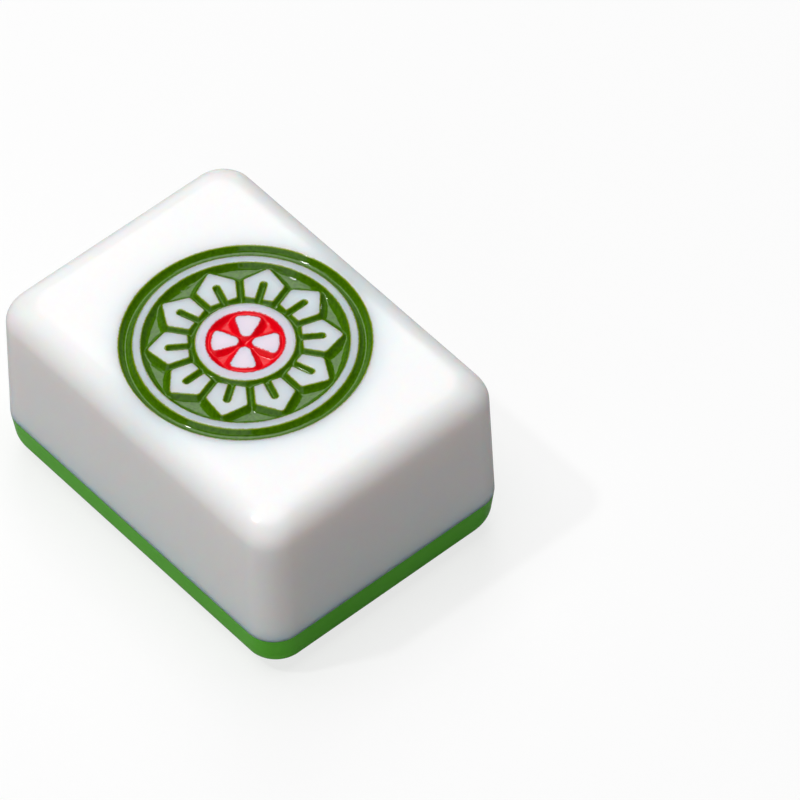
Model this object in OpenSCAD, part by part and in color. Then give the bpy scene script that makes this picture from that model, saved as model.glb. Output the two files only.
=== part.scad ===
// Mahjong tile of the one-circle kind, in millimetres.
// A white moulded block is bonded to a thinner green back. The circle ornament is sunk into the face as three
// recesses, and each recess holds its own enamel. The back carries a relief of hatched tumbling blocks.
// The origin is the middle of the back: +Z points out of the face and +Y runs along the tile.

/* [Tile] */
// Width across the short sides
tile_w = 32; // [29:0.5:40]
// Length along the long sides
tile_l = 43.8; // [36:0.1:56]
// Thickness from the back to the face
tile_t = 22.7; // [16:0.1:30]
// Radius of the four upright corners
corner_r = 4; // [2.4:0.1:5]
// Rounding of the edge round the face, no larger than the corner radius
face_edge_r = 3.1; // [1:0.1:4.5]
// Rounding of the edge round the back, no larger than the corner radius
back_edge_r = 3.6; // [1:0.1:4]
// Thickness of the green back, up to the seam
back_t = 5.85; // [4.2:0.05:7]

/* [Ring] */
// Distance from the long side of the tile to the outer lip of the ring
ring_margin = 3.05; // [2:0.05:4]
// Width of the ring groove at its lips
ring_groove_w = 1.35; // [1:0.05:2]
// Width of the ring groove at its floor
ring_floor_w = 0.4; // [0.2:0.05:0.8]
// Depth of the ring groove
ring_depth = 0.75; // [0.6:0.05:1.5]
// Width of the white band between the ring groove and the flower field
white_band_w = 0.9; // [0.5:0.05:1.4]

/* [Flower field] */
// Number of petals round the hub
petal_count = 10; // [6:1:12]
// Distance from the edge of the field to the tip of a petal
petal_tip_gap = 0.7; // [0.3:0.05:1.5]
// Length of a petal from its base to its tip
petal_len = 4.2; // [3:0.05:5]
// Angle between the two sloping edges at the tip
petal_tip_angle = 95; // [70:1:130]
// Width of the groove between two petals
petal_gap = 0.8; // [0.5:0.05:1.2]
// Width of the slot in a petal
slot_w = 0.8; // [0.4:0.05:1]
// Length of the slot from the base of the petal to its round end
slot_len = 2.4; // [1.2:0.05:2.7]
// Distance from the base of the petals to the hub
petal_base_gap = 0.65; // [0.4:0.05:1.2]
// Depth of the flower field
field_depth = 0.8; // [0.6:0.05:1.5]

/* [Centre] */
// Width of the white hub ring
hub_ring_w = 1.1; // [0.6:0.05:1.6]
// Number of white petals in the red centre
centre_petal_count = 4; // [3:1:5]
// Angle between the two straight sides of a centre petal
centre_petal_angle = 41; // [24:1:50]
// Distance from the middle of the tile back to the point where those two sides would meet
centre_petal_setback = 0.55; // [0:0.05:0.8]
// Depth of the red centre
centre_depth = 0.65; // [0.6:0.05:1.5]

/* [Enamel] */
// Thickness of the enamel on the floor of each recess
enamel_t = 0.4; // [0.2:0.05:0.55]

/* [Back relief] */
// Width of one face of a tumbling block
block_w = 7.75; // [6:0.05:10]
// Height of the upright edge of a block
block_h = 10.8; // [8:0.1:14]
// Rise of the sloping edge over the width of one face
block_rise = 5.1; // [3:0.1:7]
// Number of bars on each face
bars_per_face = 6; // [4:1:8]
// Width of the groove between two bars
bar_groove_w = 0.3; // [0.15:0.05:0.5]
// Gap between the end of a bar and the edge of its face
bar_end_gap = 0.55; // [0.4:0.05:1]
// Height of the bars above the ground between them
relief_h = 0.3; // [0.1:0.05:0.6]

/* [Hidden] */
$fn = 96;

// Overrun of every cut past the surface that it opens
over = 1;

// Roundings, limited by the corner and by the back that carry them
face_r = min(face_edge_r, corner_r);
back_r = min(back_edge_r, corner_r, back_t - relief_h);

// Straight runs between the corners
core_w = tile_w - 2 * corner_r;
core_l = tile_l - 2 * corner_r;

// Radii of the ornament, from the outer lip inwards
ring_r = tile_w / 2 - ring_margin;
ring_inner_r = ring_r - ring_groove_w;
ring_slope_w = (ring_groove_w - ring_floor_w) / 2;
field_r = ring_inner_r - white_band_w;
petal_tip_r = field_r - petal_tip_gap;
petal_base_r = petal_tip_r - petal_len;
hub_r = petal_base_r - petal_base_gap;
centre_r = hub_r - hub_ring_w;

// Petals of the flower: the sides run parallel to the line midway between two petals
petal_half_angle = 180 / petal_count;
petal_apex_r = petal_gap / 2 / sin(petal_half_angle);
slot_end_r = petal_base_r + slot_len - slot_w / 2;

// Petals of the centre, from the inner to the outer end, as shares of the radius of the centre
centre_petal_inner_share = 0.2;
centre_petal_outer_share = 0.84;

// Back relief: the pattern repeats every two faces across and every block up, and a corner where six faces
// meet lies in the middle of the tile
repeat_x = 2 * block_w;
repeat_y = block_h + block_rise;
columns = ceil(core_w / repeat_x);
rows = ceil(core_l / repeat_y);

// The three faces round such a corner: the edge that the bars follow and the edge that they stack along
faces = [
    [[block_w, block_rise], [block_w, -block_rise]],
    [[block_w, -block_rise], [0, -block_h]],
    [[0, -block_h], [-block_w, -block_rise]]
];

// Every bar that reaches the flat of the back: its middle, the edge that it follows and its width
bars = [
    for (row = [-rows : rows], column = [-columns : columns], face = faces, i = [0 : bars_per_face - 1])
    let (
        along = face[0],
        across = face[1],
        corner = [repeat_x * (column + row / 2 - floor(row / 2)), repeat_y * row],
        middle = corner + along / 2 + across * (i + 1 / 2) / bars_per_face,
        pitch = abs(cross(along, across)) / norm(along) / bars_per_face
    )
    if (abs(middle[0]) - abs(along[0]) / 2 < core_w / 2 && abs(middle[1]) - abs(along[1]) / 2 < core_l / 2)
    [middle, along, pitch - bar_groove_w]
];

// A quarter of a disc, from +X to +Y
module quarter_disc(r) {
    intersection() {
        circle(r);
        square(r + over);
    }
}

// Section through the rim of a block: upright outside, with its upper edge rounded
module rim_section(h, r) {
    square([corner_r, h - r]);
    if (corner_r > r) square([corner_r - r, h]);
    translate([corner_r - r, h - r]) quarter_disc(r);
}

// A block as wide and long as the tile, h high, with its upright corners and its upper edge rounded
module rounded_block(h, r) {
    translate([-core_w / 2, -core_l / 2, 0]) cube([core_w, core_l, h]);
    for (side = [0, 1]) rotate(180 * side) {
        translate([core_w / 2, core_l / 2, 0]) rotate_extrude(angle = 90) rim_section(h, r);
        translate([-core_w / 2, core_l / 2, 0]) rotate(90) rotate_extrude(angle = 90) rim_section(h, r);
        translate([core_w / 2, core_l / 2, 0]) rotate([90, 0, 0]) linear_extrude(core_l) rim_section(h, r);
        translate([-core_w / 2, core_l / 2, 0]) rotate([90, 0, 90]) linear_extrude(core_w) rim_section(h, r);
    }
}

// Section of the ring groove from its floor up to a level: sloping sides and a flat floor
module ring_section(level) {
    slope_w = ring_slope_w * level / ring_depth;
    polygon([
        [ring_inner_r + ring_slope_w, 0],
        [ring_r - ring_slope_w, 0],
        [ring_r - ring_slope_w + slope_w, level],
        [ring_inner_r + ring_slope_w - slope_w, level]
    ]);
}

// One petal of the flower, pointing along +X, with its slot open towards the hub
module flower_petal() {
    difference() {
        intersection() {
            polygon([
                [petal_apex_r, 0],
                [field_r, -(field_r - petal_apex_r) * tan(petal_half_angle)],
                [field_r, (field_r - petal_apex_r) * tan(petal_half_angle)]
            ]);
            polygon([
                [petal_tip_r, 0],
                [petal_base_r, petal_len * tan(petal_tip_angle / 2)],
                [petal_base_r, -petal_len * tan(petal_tip_angle / 2)]
            ]);
        }
        translate([hub_r, -slot_w / 2]) square([slot_end_r - hub_r, slot_w]);
        translate([slot_end_r, 0]) circle(slot_w / 2);
    }
}

// Plan of the flower field: a round field with the hub and the petals left standing
module field_plan() {
    difference() {
        circle(field_r);
        circle(hub_r);
        for (i = [0 : petal_count - 1]) rotate(360 / petal_count * i) flower_petal();
    }
}

// One petal of the centre, pointing along +X: a blunt wedge with an arc at each end
module centre_petal() {
    reach = centre_r + centre_petal_setback;
    intersection() {
        difference() {
            circle(centre_r * centre_petal_outer_share);
            circle(centre_r * centre_petal_inner_share);
        }
        translate([-centre_petal_setback, 0]) polygon([
            [0, 0],
            [reach, -reach * tan(centre_petal_angle / 2)],
            [reach, reach * tan(centre_petal_angle / 2)]
        ]);
    }
}

// Plan of the red centre: a disc with its petals left standing, set on the diagonals of the tile
module centre_plan() {
    difference() {
        circle(centre_r);
        for (i = [0 : centre_petal_count - 1]) rotate(360 / centre_petal_count * (i + 1 / 2)) centre_petal();
    }
}

// Plan of all the bars, as seen from the back, cut off where the rounding of the back begins
module relief_plan() {
    intersection() {
        square([core_w, core_l], center = true);
        for (b = bars) {
            len = norm(b[1]) - 2 * bar_end_gap;
            translate(b[0]) rotate(atan2(b[1][1], b[1][0])) square([len, b[2]], center = true);
        }
    }
}

module white_block() {
    color("ivory") difference() {
        translate([0, 0, back_t]) rounded_block(tile_t - back_t, face_r);
        translate([0, 0, tile_t - ring_depth]) rotate_extrude() ring_section(ring_depth + over);
        translate([0, 0, tile_t - field_depth]) linear_extrude(field_depth + over) field_plan();
        translate([0, 0, tile_t - centre_depth]) linear_extrude(centre_depth + over) centre_plan();
    }
}

module green_back() {
    color("limegreen") {
        translate([0, 0, back_t]) mirror([0, 0, 1]) rounded_block(back_t - relief_h, back_r);
        linear_extrude(relief_h + over) mirror([1, 0, 0]) relief_plan();
    }
}

module ring_enamel() {
    color("darkgreen") translate([0, 0, tile_t - ring_depth]) rotate_extrude() ring_section(enamel_t);
}

module flower_enamel() {
    color("darkgreen") translate([0, 0, tile_t - field_depth]) linear_extrude(enamel_t) field_plan();
}

module centre_enamel() {
    color("crimson") translate([0, 0, tile_t - centre_depth]) linear_extrude(enamel_t) centre_plan();
}

white_block();
green_back();
ring_enamel();
flower_enamel();
centre_enamel();
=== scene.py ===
import bmesh
import bpy
import numpy as np
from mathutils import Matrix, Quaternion, Vector


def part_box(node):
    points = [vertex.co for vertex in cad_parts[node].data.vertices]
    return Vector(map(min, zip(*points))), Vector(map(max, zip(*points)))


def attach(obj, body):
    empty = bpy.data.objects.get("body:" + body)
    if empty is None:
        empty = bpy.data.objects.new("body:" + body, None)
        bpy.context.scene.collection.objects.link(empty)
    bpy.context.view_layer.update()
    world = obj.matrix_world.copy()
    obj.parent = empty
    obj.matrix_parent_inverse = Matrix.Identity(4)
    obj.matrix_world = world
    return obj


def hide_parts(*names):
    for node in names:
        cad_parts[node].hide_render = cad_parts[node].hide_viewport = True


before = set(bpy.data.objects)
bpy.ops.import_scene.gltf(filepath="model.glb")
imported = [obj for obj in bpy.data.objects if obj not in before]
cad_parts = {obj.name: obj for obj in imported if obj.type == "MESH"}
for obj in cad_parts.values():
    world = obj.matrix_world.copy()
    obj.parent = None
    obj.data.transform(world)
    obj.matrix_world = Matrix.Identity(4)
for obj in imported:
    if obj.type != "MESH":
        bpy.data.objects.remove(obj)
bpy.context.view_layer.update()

# White block
# The body of the tile is one moulding of white melamine, tumbled until its edges are soft. The circle
# ornament is pressed into its face as sloping recesses, and its flat underside is bonded to the green back.

mm = 0.001
block_low, block_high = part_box("white_block")
half_width = block_high.x
half_length = block_high.y
half_size = np.array([half_width, half_length])
face_z = block_high.z
seam_z = block_low.z
corner_radius = 3.4 * mm
corner_growth = 1.5 * mm
face_rounding = 2.9 * mm
face_draw = 0.3 * mm
flat_room = 0.25 * mm
bond_gap = 0.01 * mm

# Radii of the ornament's lips, and the slope and depth of the recesses between them
ring_outer = half_width - 3.05 * mm
ring_inner = ring_outer - 1.42 * mm
field_edge = ring_inner - 0.85 * mm
hub_edge = 5.15 * mm
centre_edge = 4.05 * mm
ring_recess = (1.35, 0.70 * mm)
field_recess = (1.6, 0.8 * mm)
centre_recess = (1.25, 0.62 * mm)
lip_softness = 0.1 * mm
floor_softness = 0.3 * mm
valley_softness = 0.35 * mm

# Petals of the flower, in plan, for the petal along +X
petal_count = 10
petal_half_step = np.pi / petal_count
petal_tip = 10.04 * mm
petal_base = 5.82 * mm
petal_gap = 0.8 * mm
tip_half_angle = np.radians(47.5)
slot_half = 0.4 * mm
slot_end = 8.22 * mm
mouth_radius = 0.15 * mm
foot_radius = 0.2 * mm
shoulder_radius = 0.4 * mm
tip_radius = 0.35 * mm

# Petals of the centre, in plan, for the petal along +X. Half a step turns them onto the diagonals
centre_petal_count = 4
centre_half_step = np.pi / centre_petal_count
bud_place = 1.34 * mm
bud_radius = 0.68 * mm
centre_petal_reach = 3.52 * mm
centre_corner_radius = 0.47 * mm
centre_corner_angle = np.radians(16.5)

# Lines that the grids run out to between the lips: shares of the run, and the radii at those shares
slot_line_shares = (0, 0.24, 0.95, 1)
slot_line_radii = (slot_end - slot_half / 2, slot_end - 1.6 * slot_half, petal_base, hub_edge)
midline_shares = (0, 0.1, 0.72, 1)
midline_radii = (hub_edge, 6.2 * mm, 8.6 * mm, field_edge)
centre_side_share = 0.69
centre_midline_shares = (0, 0.3, 0.85, 1)
centre_midline_radii = (0, 1.3 * mm, 3.3 * mm, centre_edge)
bud_line_shares = (0, 0.5, 1)
bud_line_radii = (1.1 * mm, 2.4 * mm, 3.1 * mm)

# Steps along the grids
long_side_steps = 42
corner_steps = 42
short_side_steps = 36
loop_steps = 4 * (long_side_steps + corner_steps + short_side_steps)
slot_steps = 62
base_steps = 18
hub_steps = 2 * petal_count * base_steps
field_arc_steps = loop_steps // petal_count // 2
midline_steps = slot_steps - field_arc_steps
centre_side_steps = 40
centre_arc_steps = hub_steps // centre_petal_count // 2
arc_steps = 16

# Rows across the grids
recess_rows = 13
band_rows = 7
edge_row_count = 17
side_row_count = 10
flat_shares = np.linspace(0, 1, 9)**2.4
bud_shares = np.array([0, 0.05, 0.1, 0.17, 0.3, 0.6, 1])
underside_shares = np.array([0.5, 0])

# Joining of the grids
merge_distance = 0.001 * mm
sharp_angle = np.radians(50)

# Colours and finish. Creep is the reach and the wander of a stain, in millimetres
white_tones = [(0.3, (0.945, 0.905, 0.91)), (0.7, (0.955, 0.92, 0.92))]
# The next four values give painted shade on the white, for light lost into the enamel: pink in the hub,
# grey-blue on the band inside the ring
hub_painted_shade = (0.94, 0.70, 0.80)
hub_painted_shade_full = 0.5
band_painted_shade = (0.84, 0.90, 0.91)
band_shade_fade = 0.1 * mm
green_stain = (0.38, 0.47, 0.02)
green_creep = (0.11, 0.03)
red_stain = (0.80, 0.08, 0.10)
red_creep = (0.12, 0.06)
stain_grain = 0.3 * mm
white_blotch = 9 * mm
white_roughness = (0.22, 0.27)
white_scatter = (1.0, 0.6, 0.48)
deep_soak = 8 * mm
hub_soak = 2.5 * mm
outside_soak = 4 * mm
outside_run = 3 * mm
noise_low = 0.3
noise_high = 0.7


def tile_loop():
    """Walk once round the tile from the middle of its +X side. Each step has a place on a square from -1 to 1
    and the direction outwards. One quarter is walked and then mirrored twice."""
    rise = np.linspace(0, 1, long_side_steps, endpoint=False)
    turn = np.linspace(0, np.pi / 2, corner_steps, endpoint=False)
    fall = np.linspace(1, 0, short_side_steps + 1)
    place = np.concatenate([
        np.stack([np.ones_like(rise), rise], 1),
        np.ones((corner_steps, 2)),
        np.stack([fall, np.ones_like(fall)], 1),
    ])
    angle = np.concatenate([0 * rise, turn, 0 * fall + np.pi / 2])
    outwards = np.stack([np.cos(angle), np.sin(angle)], 1)
    quarter = np.stack([place, outwards])
    half = np.concatenate([quarter, quarter[:, -2::-1] * [-1, 1]], 1)
    whole = np.concatenate([half, half[:, -2:0:-1] * [1, -1]], 1)
    return np.concatenate([whole, whole[:, :1]], 1)


def outline_rows(inset, radius):
    """Rounded rectangles round the tile, one row for each inset and corner radius: the walked square is
    stretched to the corner centres, and the corner radius is laid on outwards."""
    place, outwards = tile_loop()
    inset, radius = np.broadcast_arrays(inset, radius)
    inset, radius = inset[..., None], radius[..., None]
    return place * (half_size - inset - radius) + radius * outwards


def circle(steps):
    """Unit circle from +X, counterclockwise, closed."""
    angle = np.linspace(0, 2 * np.pi, steps + 1)
    return np.stack([np.cos(angle), np.sin(angle)], 1)


def eased(rows):
    """Shares from 0 to 1 that crowd together at both ends: half a wave of a cosine."""
    return (1 - np.cos(np.linspace(0, np.pi, rows))) / 2


def crowded(steps):
    """Shares from 0 to 1 that lie half as far apart at both ends: a straight line averaged with a cosine."""
    return (np.linspace(0, 1, steps + 1) + eased(steps + 1)) / 2


def smooth_min(a, b, width):
    """The smaller of two numbers, with a parabola of the given width where they cross."""
    blend = np.clip(width - np.abs(a - b), 0, None) / width
    return np.minimum(a, b) - blend**2 * width / 4


def face_height(plan):
    """Height of the uncarved face: flat, and the quarter round of the edge where the plan nears a side."""
    inset = (half_size - np.abs(plan)).min(-1) - face_draw
    short = np.clip(face_rounding - inset, 0, face_rounding)
    return face_z - face_rounding + np.sqrt(face_rounding**2 - short**2)


def lip_drop(distance, slope):
    """Depth of a wall that starts at a lip, by the distance into the recess: a straight slope, with a
    parabola that rounds the lip on both sides of it."""
    run = slope * distance
    return np.maximum(run, 0) + np.clip(lip_softness - np.abs(run), 0, None)**2 / lip_softness / 4


def carved(plan, distance, recess):
    """Surface of the white block in a recess: the face, less the slope from the lip down to a flat floor."""
    slope, floor = recess
    return face_height(plan) - smooth_min(lip_drop(distance, slope), floor, floor_softness)


def standing(plan, distance, recess):
    """Surface of the white left standing by a recess: the face, less the rounding of its lips."""
    return face_height(plan) - lip_drop(distance, recess[0])


def raised(plan, height):
    """Points in space from points in plan and their heights."""
    return np.concatenate([plan, np.broadcast_to(height, plan.shape[:-1])[..., None]], -1)


def between(first, last, shares):
    """Rows of points from one run of points to another, at the given shares of the way."""
    shares = np.reshape(shares, (-1, 1, 1))
    return first + (last - first) * shares


def arc(middle, radius, start, end, steps=arc_steps):
    """Points of an arc from one angle to another."""
    angle = np.linspace(start, end, steps + 1)
    return np.array(middle) + radius * np.stack([np.cos(angle), np.sin(angle)], 1)


def rounded(before, corner, after, radius):
    """The arc that touches both sides of a corner. Its middle lies on the line that halves the corner."""
    back = (before - corner) / np.linalg.norm(before - corner)
    on = (after - corner) / np.linalg.norm(after - corner)
    half = np.arccos(back @ on) / 2
    bisector = (back + on) / np.linalg.norm(back + on)
    middle = corner + bisector * radius / np.sin(half)
    turn = np.pi / 2 - half
    facing = np.arctan2(-bisector[1], -bisector[0])
    side = np.sign(back[0] * bisector[1] - back[1] * bisector[0])
    return arc(middle, radius, facing + side * turn, facing - side * turn)


def along(run, shares):
    """Points of a run at the given shares of its length."""
    length = np.concatenate([[0], np.cumsum(np.linalg.norm(np.diff(run, axis=0), axis=1))])
    return np.stack([np.interp(shares * length[-1], length, run[:, axis]) for axis in (0, 1)], 1)


def distance_to(run, plan):
    """Distance from every point in plan to the nearest point of a run of straight steps."""
    start, step = run[:-1], np.diff(run, axis=0)
    offset = plan[..., None, :] - start
    share = np.clip((offset * step).sum(-1) / np.maximum((step * step).sum(-1), 1e-18), 0, 1)
    return np.linalg.norm(offset - share[..., None] * step, axis=-1).min(-1)


def next_petal(run, count):
    """A run on the next petal that faces this one: mirrored in the line midway between the two."""
    step = 2 * np.pi / count
    return run @ np.array([[np.cos(step), np.sin(step)], [np.sin(step), -np.cos(step)]])


def fan(grid, count, start=0.0):
    """Copies of half a petal's grid: mirrored in the petal's own line, then turned round the middle."""
    copies = []
    for step in range(count):
        angle = start + 2 * np.pi * step / count
        turn = np.array([[np.cos(angle), np.sin(angle)], [-np.sin(angle), np.cos(angle)]])
        for side in (1, -1):
            copy = grid.copy()
            copy[..., :2] = (grid[..., :2] * [1, side]) @ turn
            copies.append(copy)
    return copies


def flower_outline():
    """Half a petal in three runs: the slot from its round end to its mouth, the base, and the outside over
    the shoulder to the tip. The side runs parallel to the line midway between two petals."""
    slope = np.tan(petal_half_step)
    offset = petal_gap / 2 / np.cos(petal_half_step)
    roof = np.tan(tip_half_angle)
    shoulder_x = (petal_tip * roof + offset) / (roof + slope)
    slot_middle = np.array([slot_end - slot_half, 0])
    wall_top = slot_middle + [0, slot_half]
    mouth = np.array([petal_base, slot_half])
    foot = np.array([petal_base, petal_base * slope - offset])
    shoulder = np.array([shoulder_x, shoulder_x * slope - offset])
    tip = np.array([petal_tip, 0])
    mouth_arc = rounded(wall_top, mouth, foot, mouth_radius)
    foot_arc = rounded(mouth, foot, shoulder, foot_radius)
    shoulder_arc = rounded(foot, shoulder, tip, shoulder_radius)
    tip_arc = rounded(shoulder, tip, shoulder * [1, -1], tip_radius)
    half = len(mouth_arc) // 2
    slot = np.concatenate([arc(slot_middle, slot_half, 0, np.pi / 2), mouth_arc[:half + 1]])
    base = np.concatenate([mouth_arc[half:], foot_arc[:half + 1]])
    outside = np.concatenate([foot_arc[half:], shoulder_arc, tip_arc[:half + 1]])
    return (
        along(slot, crowded(slot_steps)),
        along(base, crowded(base_steps)),
        along(outside, crowded(slot_steps)),
    )


def field_lips(plan):
    """Distance to the nearest lip of the flower field, for points in half a petal's share of it: the petal's
    own outline, the far side of its slot, the next petal, the hub and the field's edge, with a soft valley
    between them."""
    slot, base, outside = flower_outline()
    radius = np.linalg.norm(plan, axis=-1)
    lips = distance_to(np.concatenate([slot, base[1:], outside[1:]]), plan)
    lips = smooth_min(lips, distance_to(slot * [1, -1], plan), valley_softness)
    lips = smooth_min(lips, distance_to(next_petal(outside, petal_count), plan), valley_softness)
    lips = smooth_min(lips, np.clip(radius - hub_edge, 0, None), valley_softness)
    lips = smooth_min(lips, np.clip(field_edge - radius, 0, None), valley_softness)
    return np.clip(lips, 0, None)


def flower_strip(shares):
    """Half a petal's share of the field, from the petal's outline out to what bounds it: the slot's middle
    line, the hub, the line midway to the next petal, and the edge of the field."""
    slot, base, outside = flower_outline()
    outline = np.concatenate([slot, base[1:], outside[1:]])
    steps = crowded(slot_steps)
    slot_line = np.interp(steps, slot_line_shares, slot_line_radii)
    slot_bound = np.stack([slot_line, 0 * slot_line], 1)
    hub_bound = arc((0, 0), hub_edge, 0, petal_half_step, base_steps)
    midline = np.interp(steps[:midline_steps + 1] / steps[midline_steps], midline_shares, midline_radii)
    mid_bound = midline[:, None] * [np.cos(petal_half_step), np.sin(petal_half_step)]
    edge_bound = arc((0, 0), field_edge, petal_half_step, 0, field_arc_steps)
    bound = np.concatenate([slot_bound, hub_bound[1:], mid_bound[1:], edge_bound[1:]])
    plan = between(outline, bound, shares)
    return plan, field_lips(plan)


def flower_top():
    """Top of half a petal: the slot's run and the outside run are joined across, and corrected so that the
    ends follow the base and the petal's middle line. Distances are negative, outside the recess."""
    slot, base, outside = flower_outline()
    outline = np.concatenate([slot, base[1:], outside[1:]])
    inner = slot[::-1]
    up = crowded(slot_steps)[:, None, None]
    across = crowded(base_steps)[None, :, None]
    ridge = inner[-1] + (outside[-1] - inner[-1]) * across[0]
    sides = inner[:, None] * (1 - across) + outside[:, None] * across
    ends = base[None] * (1 - up) + ridge[None] * up
    low = inner[0] * (1 - across) + outside[0] * across
    high = inner[-1] * (1 - across) + outside[-1] * across
    plan = sides + ends - low * (1 - up) - high * up
    return plan, -distance_to(outline, plan)


def centre_outline():
    """Half a centre petal: a round inner end, a straight side that touches it and the outer corner, the
    corner's arc, and an outer edge that follows the centre's own circle."""
    bud = np.array([bud_place, 0])
    reach = centre_petal_reach - centre_corner_radius
    corner = reach * np.array([np.cos(centre_corner_angle), np.sin(centre_corner_angle)])
    lean = np.arctan2(*(corner - bud)[::-1])
    normal = lean + np.arccos((bud_radius - centre_corner_radius) / np.linalg.norm(corner - bud))
    return np.concatenate([
        arc(bud, bud_radius, np.pi, normal),
        arc(corner, centre_corner_radius, normal, centre_corner_angle),
        arc((0, 0), centre_petal_reach, centre_corner_angle, 0),
    ])


def centre_runs():
    """The centre petal's outline in steps: those that face the next petal, then those that face the edge."""
    edge_shares = np.linspace(0, 1, centre_arc_steps + 1)[1:]
    shares = np.concatenate([
        centre_side_share * crowded(centre_side_steps),
        centre_side_share + (1 - centre_side_share) * edge_shares,
    ])
    return along(centre_outline(), shares)


def centre_lips(plan):
    """Distance to the nearest lip of the red centre, for points in half a petal's share of it: the petal's
    own outline, the next petal and the centre's edge, with a soft valley between them."""
    outline = centre_outline()
    facing = next_petal(outline, centre_petal_count)
    lips = smooth_min(distance_to(outline, plan), distance_to(facing, plan), valley_softness)
    edge = np.clip(centre_edge - np.linalg.norm(plan, axis=-1), 0, None)
    return np.clip(smooth_min(lips, edge, valley_softness), 0, None)


def centre_strip(shares):
    """Half a centre petal's share of the red centre, from its outline out to the line midway to the next
    petal and to the centre's edge."""
    midline = np.interp(crowded(centre_side_steps), centre_midline_shares, centre_midline_radii)
    mid_bound = midline[:, None] * [np.cos(centre_half_step), np.sin(centre_half_step)]
    edge_bound = arc((0, 0), centre_edge, centre_half_step, 0, centre_arc_steps)
    plan = between(centre_runs(), np.concatenate([mid_bound, edge_bound[1:]]), shares)
    return plan, centre_lips(plan)


def centre_top(shares):
    """Top of half a centre petal, from its outline in to the petal's middle line. Distances are negative."""
    outline = centre_runs()
    line = np.interp(np.linspace(0, 1, len(outline)), bud_line_shares, bud_line_radii)
    plan = between(outline, np.stack([line, 0 * line], 1), shares)
    return plan, -distance_to(outline, plan)


def ring_groove(surface):
    """Rows of the ring's groove from lip to lip, closer together at the lips."""
    radius = ring_outer + (ring_inner - ring_outer) * eased(recess_rows)
    plan = radius[:, None, None] * circle(loop_steps)
    lips = np.clip(smooth_min(ring_outer - radius, radius - ring_inner, valley_softness), 0, None)
    return raised(plan, surface(plan, lips[:, None], ring_recess))


def flat_band(outer, inner, steps):
    """Rows of a flat round band between two lips that are rounded off."""
    radius = outer + (inner - outer) * eased(band_rows)
    plan = radius[:, None, None] * circle(steps)
    lips = np.minimum(outer - radius, radius - inner)[:, None]
    return raised(plan, standing(plan, -lips, field_recess))


def edge_rows(turn, rounding, draw):
    """Rows round a soft edge, by the angle turned from the upright side: a quarter round in section, set in
    by the side's draw, with corners that grow rounder towards the flat."""
    inset = rounding * (1 - np.cos(turn))
    radius = corner_radius - inset + corner_growth * np.sin(turn)**2
    return outline_rows(inset + draw, radius)


def block_rim():
    """The block's outside from the ring's lip over the flat of the face, round the edge and down the side to
    the seam, then in along the underside to the middle. The side draws in a little towards the face."""
    lip = ring_outer * circle(loop_steps)
    room = half_width - np.abs(lip[:, 0]) - face_draw - flat_room
    start = np.arccos(np.clip(1 - room / face_rounding, 0, 1))
    turn = start * np.linspace(1, 0, edge_row_count)[:, None]
    edge_z = face_z - face_rounding * (1 - np.sin(turn))
    edge_draw = face_draw * (edge_z - seam_z) / (face_z - seam_z)
    edge = raised(edge_rows(turn, face_rounding, edge_draw), edge_z)
    flat = between(raised(lip, face_height(lip)), edge[0], flat_shares)
    flat[..., 2] -= lip_drop(-np.linalg.norm(flat[..., :2] - lip, axis=-1), ring_recess[0])
    foot_z = seam_z + bond_gap
    side_z = np.linspace(face_z - face_rounding, foot_z, side_row_count)[1:, None]
    side_draw = face_draw * (side_z - seam_z) / (face_z - seam_z)
    side = raised(outline_rows(side_draw, corner_radius), side_z)
    under = raised(side[-1, :, :2] * underside_shares[:, None, None], foot_z)
    return np.concatenate([flat, edge[1:], side, under])


def make_piece(name, grids, material, node):
    """One closed mesh from grids of points: each grid gives its quads, and the points that neighbouring grids
    share are merged. The piece rides on the tile and stands for its CAD node."""
    points, quads, first = [], [], 0
    for grid in grids:
        index = first + np.arange(grid[..., 0].size).reshape(grid.shape[:2])
        cells = np.stack([index[:-1, :-1], index[1:, :-1], index[1:, 1:], index[:-1, 1:]], -1)
        quads.append(cells.reshape(-1, 4))
        points.append(grid.reshape(-1, 3))
        first += index.size
    mesh = bpy.data.meshes.new(name)
    mesh.from_pydata(np.concatenate(points).tolist(), [], np.concatenate(quads).tolist())
    shell = bmesh.new()
    shell.from_mesh(mesh)
    bmesh.ops.remove_doubles(shell, verts=shell.verts, dist=merge_distance)
    bmesh.ops.recalc_face_normals(shell, faces=shell.faces)
    shell.to_mesh(mesh)
    shell.free()
    mesh.shade_smooth()
    mesh.set_sharp_from_angle(angle=sharp_angle)
    mesh.materials.append(material)
    piece = bpy.data.objects.new(name, mesh)
    bpy.context.scene.collection.objects.link(piece)
    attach(piece, "root")
    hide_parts(node)
    return piece


def plain_material(name):
    """A material with its Principled shader and Object coordinates ready."""
    material = bpy.data.materials.new(name)
    material.use_nodes = True
    nodes, links = material.node_tree.nodes, material.node_tree.links
    shader = nodes["Principled BSDF"]
    place = nodes.new("ShaderNodeTexCoord").outputs["Object"]
    return material, nodes, links, shader, place


def noise(nodes, links, place, blotch, detail):
    """Noise on Object coordinates, given the size of one blotch in metres and the layers of detail."""
    node = nodes.new("ShaderNodeTexNoise")
    node.inputs["Scale"].default_value = 1 / blotch
    node.inputs["Detail"].default_value = detail
    links.new(place, node.inputs["Vector"])
    return node.outputs["Fac"]


def colours(nodes, links, value, stops):
    """A colour ramp from two pairs of place and colour."""
    ramp = nodes.new("ShaderNodeValToRGB")
    for element, (at, colour) in zip(ramp.color_ramp.elements, stops):
        element.position = at
        element.color = (*colour, 1)
    links.new(value, ramp.inputs["Fac"])
    return ramp.outputs["Color"]


def spread(nodes, links, value, low, high, to_low, to_high):
    """Map a value from one range to another."""
    node = nodes.new("ShaderNodeMapRange")
    for name, number in (("From Min", low), ("From Max", high), ("To Min", to_low), ("To Max", to_high)):
        node.inputs[name].default_value = number
    links.new(value, node.inputs["Value"])
    return node.outputs["Result"]


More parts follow.
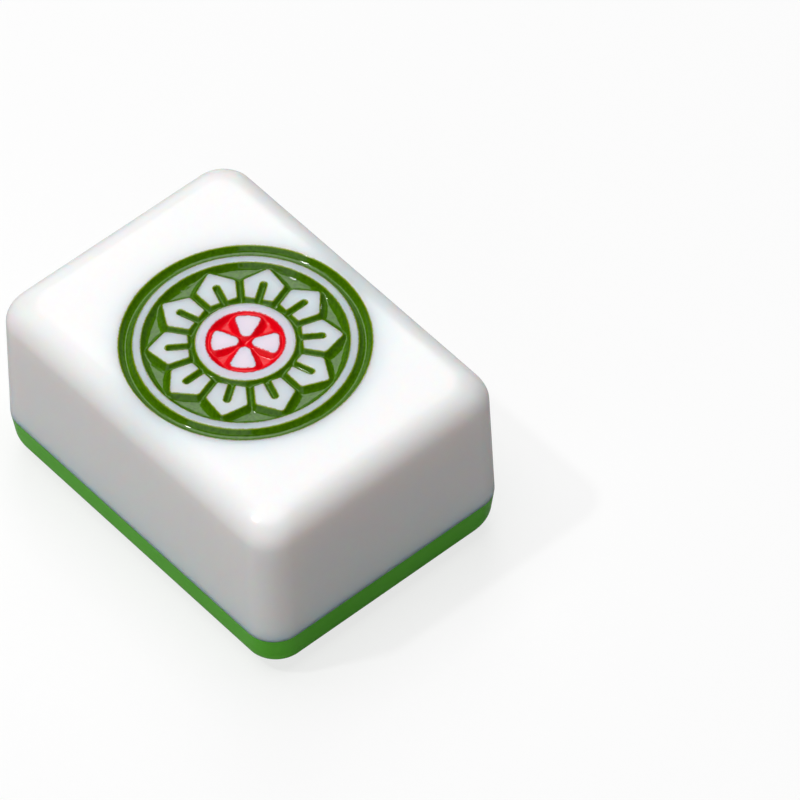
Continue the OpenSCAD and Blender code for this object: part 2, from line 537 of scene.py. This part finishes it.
def mixed(nodes, links, share, first, second):
    """A colour that goes from the first to the second as the share goes from 0 to 1. The second is either
    another socket or one plain colour."""
    node = nodes.new("ShaderNodeMix")
    node.data_type = "RGBA"
    links.new(share, node.inputs["Factor"])
    links.new(first, node.inputs["A"])
    if isinstance(second, tuple):
        node.inputs["B"].default_value = (*second, 1)
    else:
        links.new(second, node.inputs["B"])
    return node.outputs["Result"]


def folded(plan, count, start=0.0):
    """Points of the whole ornament folded into half a petal's share: turned to the nearest petal, then
    mirrored in that petal's own line."""
    step = 2 * np.pi / count
    angle = np.arctan2(plan[:, 1], plan[:, 0]) - start
    angle = np.abs((angle + step / 2) % step - step / 2)
    return np.linalg.norm(plan, axis=1)[:, None] * np.stack([np.cos(angle), np.sin(angle)], 1)


def mark_lips(piece):
    """Keep values with every point of the block, by its place in plan. green_lip and red_lip are distances to
    the nearest lip of that paint, in millimetres. The hub's share, which places painted pink shade and sets a
    shorter soak, rises from the hub's edge to the centre's. The band's share, which places painted grey-blue
    shade, is 1 on the band inside the ring, and clear rises outwards from the ring."""
    mesh = piece.data
    points = np.empty(3 * len(mesh.vertices))
    mesh.vertices.foreach_get("co", points)
    plan = points.reshape(-1, 3)[:, :2]
    radius = np.linalg.norm(plan, axis=1)
    green_circles = (ring_outer, ring_inner, field_edge, hub_edge)
    green = np.min([np.abs(radius - lip) for lip in green_circles], axis=0)
    in_field = (radius > hub_edge) & (radius < field_edge)
    petals = distance_to(np.concatenate(flower_outline()), folded(plan[in_field], petal_count))
    green[in_field] = np.minimum(green[in_field], petals)
    red = np.abs(radius - centre_edge)
    in_centre = radius < centre_edge
    buds = folded(plan[in_centre], centre_petal_count, centre_half_step)
    red[in_centre] = np.minimum(red[in_centre], distance_to(centre_outline(), buds))
    kept = {
        "green_lip": green / mm,
        "red_lip": red / mm,
        # The hub's share places painted pink shade and a shorter soak
        "hub_shade_and_soak": np.clip((hub_edge - radius) / (hub_edge - centre_edge), 0, 1),
        # The band's share places painted grey-blue shade
        "band_shade": np.clip(np.minimum(ring_inner - radius, radius - field_edge) / band_shade_fade, 0, 1),
        "clear": np.clip((radius - ring_outer) / outside_run, 0, 1),
    }
    for name, values in kept.items():
        mesh.attributes.new(name, "FLOAT", "POINT").data.foreach_set("value", values)


def kept_value(nodes, name):
    """A value that the mesh keeps at its points."""
    node = nodes.new("ShaderNodeAttribute")
    node.attribute_name = name
    return node.outputs["Fac"]


def crept(nodes, links, place, colour, lip, creep, paint):
    """Lay a stain over a colour: full at the lip and gone at its reach, which wanders by a noise."""
    reach, wander = creep
    grain = noise(nodes, links, place, stain_grain, 2)
    total = nodes.new("ShaderNodeMath")
    links.new(kept_value(nodes, lip), total.inputs[0])
    links.new(spread(nodes, links, grain, noise_low, noise_high, -wander, wander), total.inputs[1])
    share = spread(nodes, links, total.outputs["Value"], 0, reach, 1, 0)
    return mixed(nodes, links, share, colour, paint)


def white_melamine():
    """Dense white plastic with a polish. Light soaks well into it, less far in the hub and outside the ring.
    The colour drifts very slightly. Painted shade stands in for light lost into the enamel: pink in the hub
    and grey-blue on the band inside the ring. A breath of paint stays on the lips of the recesses."""
    material, nodes, links, shader, place = plain_material("white_melamine")
    drift = noise(nodes, links, place, white_blotch, 3)
    white = colours(nodes, links, drift, white_tones)
    hub_shade_and_soak = kept_value(nodes, "hub_shade_and_soak")
    clear = kept_value(nodes, "clear")
    # Painted pink shade in the hub, for light lost into the red enamel
    white = mixed(nodes, links, spread(nodes, links, hub_shade_and_soak, 0, hub_painted_shade_full, 0, 1), white, hub_painted_shade)
    # Painted grey-blue shade on the band inside the ring, for light lost into the green enamel
    white = mixed(nodes, links, kept_value(nodes, "band_shade"), white, band_painted_shade)
    white = crept(nodes, links, place, white, "green_lip", green_creep, green_stain)
    white = crept(nodes, links, place, white, "red_lip", red_creep, red_stain)
    links.new(white, shader.inputs["Base Color"])
    roughness = spread(nodes, links, drift, noise_low, noise_high, *white_roughness)
    links.new(roughness, shader.inputs["Roughness"])
    shader.inputs["Subsurface Weight"].default_value = 1
    shader.inputs["Subsurface Radius"].default_value = white_scatter
    soak = nodes.new("ShaderNodeMath")
    soak.operation = "MINIMUM"
    links.new(spread(nodes, links, hub_shade_and_soak, 0, 1, deep_soak, hub_soak), soak.inputs[0])
    links.new(spread(nodes, links, clear, 0, 1, deep_soak, outside_soak), soak.inputs[1])
    links.new(soak.outputs["Value"], shader.inputs["Subsurface Scale"])
    return material


field_plan, field_distance = flower_strip(eased(recess_rows))
centre_plan, centre_distance = centre_strip(eased(recess_rows))
petal_plan, petal_distance = flower_top()
bud_plan, bud_distance = centre_top(bud_shares)
field_floor = raised(field_plan, carved(field_plan, field_distance, field_recess))
petal_tops = raised(petal_plan, standing(petal_plan, petal_distance, field_recess))
centre_floor = raised(centre_plan, carved(centre_plan, centre_distance, centre_recess))
bud_tops = raised(bud_plan, standing(bud_plan, bud_distance, centre_recess))
white_grids = [
    block_rim(),
    ring_groove(carved),
    flat_band(ring_inner, field_edge, loop_steps),
    flat_band(hub_edge, centre_edge, hub_steps),
    *fan(field_floor, petal_count),
    *fan(petal_tops, petal_count),
    *fan(centre_floor, centre_petal_count, centre_half_step),
    *fan(bud_tops, centre_petal_count, centre_half_step),
]
mark_lips(make_piece("carved_block", white_grids, white_melamine(), "white_block"))

# Green enamel of the ring and of the flower field
# Dark green enamel is brushed into the recesses and wiped off the face. It clings to their walls and floors
# as a thin film and thins to a yellower line at the lips.

film_thickness = 0.05 * mm
film_growth = 0.08 * mm
under_share = 0.3
thinnest_depth = 0.03 * mm
enamel_blotch = 0.35 * mm
polish_share = 0.7
turned_over = 0.01
ripple_blotch = 1.2 * mm
ripple_depth = 0.03 * mm
ripple_strength = 0.12
green_deep = [(0.35, (0.044, 0.130, 0.0003)), (0.65, (0.066, 0.185, 0.0006))]
green_thin = [(0.3, (0.190, 0.300, 0.001)), (0.7, (0.240, 0.350, 0.001))]
green_under = (0.036, 0.125, 0.005)
green_lip_depth = 0.12 * mm
green_polish = (0.07, 0.35)


def coated(plan, distance, recess):
    """Outer skin of the enamel in a recess: the carved surface plus a film that is nothing at the lip and
    soon reaches its full thickness, as an exponential of the distance."""
    film_height = film_thickness * (1 - np.exp(-np.maximum(distance, 0) / film_growth))
    return carved(plan, distance, recess) + film_height


def under_coat(plan, distance, recess):
    """Under skin of the enamel: a share of the way from the carved surface to the outer skin."""
    wall = carved(plan, distance, recess)
    return wall + under_share * (coated(plan, distance, recess) - wall)


def film(plan, distance, recess):
    """Both skins of the enamel in a recess, the outer one first."""
    return [raised(plan, skin(plan, distance, recess)) for skin in (coated, under_coat)]


def z_part(nodes, links, vector):
    """The upright part of a vector."""
    node = nodes.new("ShaderNodeSeparateXYZ")
    links.new(vector, node.inputs["Vector"])
    return node.outputs["Z"]


def bumped(nodes, links, shader, height, depth, strength):
    """Fine surface relief from a value."""
    node = nodes.new("ShaderNodeBump")
    node.inputs["Strength"].default_value = strength
    node.inputs["Distance"].default_value = depth
    links.new(height, node.inputs["Height"])
    links.new(node.outputs["Normal"], shader.inputs["Normal"])


def glossy_enamel(name, deep, thin, under, lip_depth, polish):
    """Enamel with a hard gloss. The colour goes from the thin coat at the lip to the deep coat below, with a
    slight drift, and has another tone on the side that lies on the white. Polish is the greatest roughness
    and the strength of the shine."""
    material, nodes, links, shader, place = plain_material(name)
    drift = noise(nodes, links, place, enamel_blotch, 3)
    height = z_part(nodes, links, place)
    thinness = spread(nodes, links, height, face_z - lip_depth, face_z - thinnest_depth, 0, 1)
    deep_coat = colours(nodes, links, drift, deep)
    coat = mixed(nodes, links, thinness, deep_coat, colours(nodes, links, drift, thin))
    upward = z_part(nodes, links, nodes["Texture Coordinate"].outputs["Normal"])
    underside = spread(nodes, links, upward, -turned_over, turned_over, 1, 0)
    links.new(mixed(nodes, links, underside, coat, under), shader.inputs["Base Color"])
    roughest, shine = polish
    smoothest = polish_share * roughest
    roughness = spread(nodes, links, drift, noise_low, noise_high, smoothest, roughest)
    links.new(roughness, shader.inputs["Roughness"])
    shader.inputs["Specular IOR Level"].default_value = shine
    ripple = noise(nodes, links, place, ripple_blotch, 1)
    bumped(nodes, links, shader, ripple, ripple_depth, ripple_strength)
    return material


green_enamel = glossy_enamel(
    "green_enamel", green_deep, green_thin, green_under, green_lip_depth, green_polish)
ring_grids = [ring_groove(coated), ring_groove(under_coat)]
make_piece("ring_film", ring_grids, green_enamel, "ring_enamel")

field_skin, field_under = film(field_plan, field_distance, field_recess)
flower_grids = [*fan(field_skin, petal_count), *fan(field_under, petal_count)]
make_piece("flower_film", flower_grids, green_enamel, "flower_enamel")

# Red enamel of the centre
# The centre is filled the same way with bright red enamel, a little shallower, round four white petals.
# Its gloss is softer than that of the green.

red_deep = [(0.35, (0.76, 0.0003, 0.006)), (0.65, (0.86, 0.0006, 0.010))]
red_thin = [(0.3, (0.80, 0.010, 0.020)), (0.7, (0.86, 0.015, 0.030))]
red_under_tone = (0.95, 0.25, 0.45)
red_lip_depth = 0.14 * mm
red_polish = (0.2, 0.22)

red_enamel = glossy_enamel("red_enamel", red_deep, red_thin, red_under_tone, red_lip_depth, red_polish)
red_skin, red_under = film(centre_plan, centre_distance, centre_recess)
centre_grids = [
    *fan(red_skin, centre_petal_count, centre_half_step),
    *fan(red_under, centre_petal_count, centre_half_step),
]
make_piece("centre_film", centre_grids, red_enamel, "centre_enamel")

# Green back
# The back is a thinner moulding of leaf-green plastic with the same outline, bonded under the block. Its edge
# is rounded, and the mould leaves a relief of tumbling blocks on it, each face hatched by six bars.

back_low, back_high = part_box("green_back")
back_thickness = back_high.z - back_low.z
back_rounding = 3.2 * mm
back_draw = 0.55 * mm
relief_height = 0.3 * mm
block_width = 7.75 * mm
block_height = 10.8 * mm
block_rise = 5.1 * mm
bars_per_face = 6
bar_groove = 0.22 * mm
bar_end_gap = 0.42 * mm
bar_sink = 0.08 * mm
bar_margin = 1.2 * mm
pattern_reach = 2

# Section of a bar from inside the ground up to its spine: half widths and rises as shares
bar_width_shares = np.array([1.0, 1.0, 0.94, 0.85, 0.68, 0.0])
bar_rise_shares = np.array([0, 0.45, 0.77, 0.96, 1])

# Rows and steps of the grids
back_side_rows = 7
back_edge_rows = 19
back_top_shares = np.array([0, 0.5])
ground_shares = np.array([0.6, 0])
cap_steps = 9
bar_side_steps = 24

# Colours and finish: frosted up to one height, smooth from another
smooth_tones = [(0.3, (0.118, 0.52, 0.032)), (0.7, (0.132, 0.56, 0.038))]
frost_tones = [(0.3, (0.265, 0.62, 0.185)), (0.7, (0.290, 0.66, 0.210))]
frost_z = 0.3 * mm
smooth_z = 0.8 * mm
frost_roughness = 0.5
smooth_roughness = 0.26
green_blotch = 6 * mm
grain_blotch = 0.3 * mm
grain_depth = 0.01 * mm
grain_strength = 0.3
green_shine = 0.06
green_scatter_share = 0.4
green_scatter = (0.4, 1.0, 0.25)
green_soak = 1.0 * mm


def back_height(plan):
    """Height of the back's lowest skin: flat, and the quarter round of the edge by the distance from the
    rim, which is a rounded rectangle."""
    radius = corner_radius + corner_growth
    beyond = np.abs(plan) - half_size + radius
    inset = radius - np.linalg.norm(np.clip(beyond, 0, None), axis=-1) - np.clip(beyond.max(-1), None, 0)
    short = np.clip(back_rounding + back_draw - inset, 0, back_rounding)
    return back_rounding - np.sqrt(back_rounding**2 - short**2)


def back_rim():
    """The back's outside from the middle of its upper side out to the seam, down the side, round the edge to
    the ground of the relief and in to the middle. The side draws in a little from the seam downwards."""
    top_z = back_thickness - bond_gap
    side_z = np.linspace(top_z, back_rounding, back_side_rows)[:, None]
    side_draw = back_draw * (back_thickness - side_z) / back_thickness
    side = raised(outline_rows(side_draw, corner_radius), side_z)
    upper = raised(side[0, :, :2] * back_top_shares[:, None, None], top_z)
    last_turn = np.arcsin(1 - relief_height / back_rounding)
    turn = np.linspace(0, last_turn, back_edge_rows)[1:, None]
    edge_z = back_rounding * (1 - np.sin(turn))
    edge_draw = back_draw * (back_thickness - edge_z) / back_thickness
    edge = raised(edge_rows(turn, back_rounding, edge_draw), edge_z)
    ground = raised(edge[-1, :, :2] * ground_shares[:, None, None], relief_height)
    return np.concatenate([upper, side, edge, ground])


def bar_grid(middle, heading, run, half):
    """One bar: a slot shape round its spine that shrinks as it rises, then is laid along its heading. Where
    the back's edge turns away, the bar sinks into it. The pattern is drawn as seen from the back, so x is
    turned."""
    cap = np.linspace(-0.5, 0.5, cap_steps)
    side = np.linspace(1, -1, bar_side_steps)[1:-1]
    ends = np.concatenate([cap, 0 * side + 0.5, cap + 1, 0 * side - 0.5, cap[:1]]) * np.pi
    spine = run * np.concatenate([0 * cap + 1, side, 0 * cap - 1, -side, [1]])
    width = half * bar_width_shares[:, None]
    rise = np.concatenate([[-bar_sink], relief_height * bar_rise_shares])[:, None]
    x = spine + width * np.cos(ends)
    y = width * np.sin(ends)
    plan = middle + x[..., None] * heading + y[..., None] * np.array([-heading[1], heading[0]])
    limit = half_size - bar_margin
    plan = np.clip(plan, -limit, limit) * [-1, 1]
    skin = back_height(plan)
    ground = np.maximum(skin, relief_height)
    full = np.clip(ground - skin, 0, None) / relief_height
    height = ground - rise * np.where(rise > 0, full, 1)
    height = np.where(full > 0, height, ground + bar_sink)
    under = raised(plan[:1].mean(1, keepdims=True) + 0 * plan[:1], height[:1].max())
    return np.concatenate([under, raised(plan, height)])


def relief_bars():
    """Every bar of the relief as a closed grid. Three faces meet at each corner of the pattern, which repeats
    every two faces across and is set off by half a repeat in every other row. Each face has an edge that its
    bars follow and an edge that they stack along."""
    faces = [
        (np.array([block_width, block_rise]), np.array([block_width, -block_rise])),
        (np.array([block_width, -block_rise]), np.array([0, -block_height])),
        (np.array([0, -block_height]), np.array([-block_width, -block_rise])),
    ]
    grids = []
    limit = half_size - back_rounding + bar_margin
    repeat_x, repeat_y = 2 * block_width, block_height + block_rise
    repeats = range(-pattern_reach, pattern_reach + 1)
    for row in repeats:
        for column in repeats:
            corner = np.array([repeat_x * (column + 0.5 * (row % 2)), repeat_y * row])
            for follow, stack in faces:
                length = np.linalg.norm(follow)
                pitch = abs(follow[0] * stack[1] - follow[1] * stack[0]) / length / bars_per_face
                half = (pitch - bar_groove) / 2
                run = length / 2 - bar_end_gap - half
                for bar in range(bars_per_face):
                    middle = corner + follow / 2 + stack * (bar + 0.5) / bars_per_face
                    if np.all(np.abs(middle) - np.abs(follow) / 2 <= limit):
                        grids.append(bar_grid(middle, follow / length, run, half))
    return grids


def leaf_green():
    """Leaf-green plastic, a little translucent: smooth at the sides, and paler and frosted on the relief,
    with a change from one to the other at the start of the rounded edge."""
    material, nodes, links, shader, place = plain_material("leaf_green")
    drift = noise(nodes, links, place, green_blotch, 3)
    height = z_part(nodes, links, place)
    frosted = spread(nodes, links, height, frost_z, smooth_z, 1, 0)
    smooth = colours(nodes, links, drift, smooth_tones)
    frost = colours(nodes, links, drift, frost_tones)
    links.new(mixed(nodes, links, frosted, smooth, frost), shader.inputs["Base Color"])
    roughness = spread(nodes, links, height, frost_z, smooth_z, frost_roughness, smooth_roughness)
    links.new(roughness, shader.inputs["Roughness"])
    grain = noise(nodes, links, place, grain_blotch, 5)
    bumped(nodes, links, shader, grain, grain_depth, grain_strength)
    shader.inputs["Specular IOR Level"].default_value = green_shine
    shader.inputs["Subsurface Weight"].default_value = green_scatter_share
    shader.inputs["Subsurface Radius"].default_value = green_scatter
    shader.inputs["Subsurface Scale"].default_value = green_soak
    return material


make_piece("relief_back", [back_rim(), *relief_bars()], leaf_green(), "green_back")

# Floor, light and camera
# The tile lies on a plain white sheet, seen from above its long side. Broad soft lamps light it from overhead
# and from three sides, and a small key lamp gives the glints in the enamel.

scene = bpy.context.scene
scene.view_settings.view_transform = "Standard"

floor_half = 1.5
floor_roughness = 0.9
bounced_tone = 0.45
seen_tone = 0.95
shadow_share = 0.25
sky_strength = 0.02


def white_sheet():
    """White sheet that the camera sees almost as plain white, with a share of the shadows on it, while the
    light that it throws back at the tile is that of a greyer one."""
    material, nodes, links, shader, place = plain_material("white_sheet")
    shader.inputs["Roughness"].default_value = floor_roughness
    glow = nodes.new("ShaderNodeEmission")
    seen = nodes.new("ShaderNodeMixShader")
    camera_ray = nodes.new("ShaderNodeLightPath").outputs["Is Camera Ray"]
    tone = spread(nodes, links, camera_ray, 0, 1, bounced_tone, seen_tone)
    links.new(tone, shader.inputs["Base Color"])
    links.new(spread(nodes, links, camera_ray, 0, 1, 0, 1 - shadow_share), seen.inputs["Fac"])
    links.new(shader.outputs["BSDF"], seen.inputs[1])
    links.new(glow.outputs["Emission"], seen.inputs[2])
    links.new(seen.outputs["Shader"], nodes["Material Output"].inputs["Surface"])
    return material


floor_mesh = bpy.data.meshes.new("floor")
floor_corners = [(-1, -1, 0), (1, -1, 0), (1, 1, 0), (-1, 1, 0)]
floor_mesh.from_pydata((floor_half * np.array(floor_corners)).tolist(), [], [(0, 1, 2, 3)])
floor_mesh.materials.append(white_sheet())
floor = bpy.data.objects.new("floor", floor_mesh)
scene.collection.objects.link(floor)

world = bpy.data.worlds.new("studio")
world.use_nodes = True
scene.world = world
world.node_tree.nodes["Background"].inputs["Color"].default_value = (1, 1, 1, 1)
world.node_tree.nodes["Background"].inputs["Strength"].default_value = sky_strength


def soft_light(name, place, width, height, power):
    """A rectangular lamp that faces the tile. Its place and size are in metres and its power in watts."""
    data = bpy.data.lights.new(name, "AREA")
    data.shape = "RECTANGLE"
    data.size = width
    data.size_y = height
    data.energy = power
    lamp = bpy.data.objects.new(name, data)
    lamp.location = place
    lamp.rotation_mode = "QUATERNION"
    lamp.rotation_quaternion = (-Vector(place)).to_track_quat("-Z", "Y")
    lamp.visible_camera = False
    scene.collection.objects.link(lamp)


soft_light("overhead", (0.0, 0.08, 0.8), 0.6, 0.6, 4.05)
soft_light("key", (-0.399, 0.183, 0.843), 0.05, 0.05, 2.2)
soft_light("left", (-0.74, -0.34, 0.38), 0.8, 0.8, 1.65)
soft_light("back", (0.376, 0.456, 0.705), 0.35, 0.3, 1.1)
soft_light("rim", (0.5, 0.75, 0.3), 0.6, 0.4, 0.6)

view_target = Vector((12.674, -8.966, 11.25)) * mm
view_distance = 859.9 * mm
view_azimuth = np.radians(-39.464)
view_elevation = np.radians(50.189)
view_roll = np.radians(-1.929)
camera_data = bpy.data.cameras.new("camera")
camera_data.sensor_width = 36
camera_data.lens = 376.95
camera_data.clip_start = 0.05
camera_data.clip_end = 10
camera = bpy.data.objects.new("camera", camera_data)
level = np.cos(view_elevation)
backwards = Vector((np.sin(view_azimuth) * level, -np.cos(view_azimuth) * level, np.sin(view_elevation)))
camera.location = view_target + view_distance * backwards
camera.rotation_mode = "QUATERNION"
camera.rotation_quaternion = (-backwards).to_track_quat("-Z", "Y") @ Quaternion((0, 0, 1), view_roll)
scene.collection.objects.link(camera)
scene.camera = camera
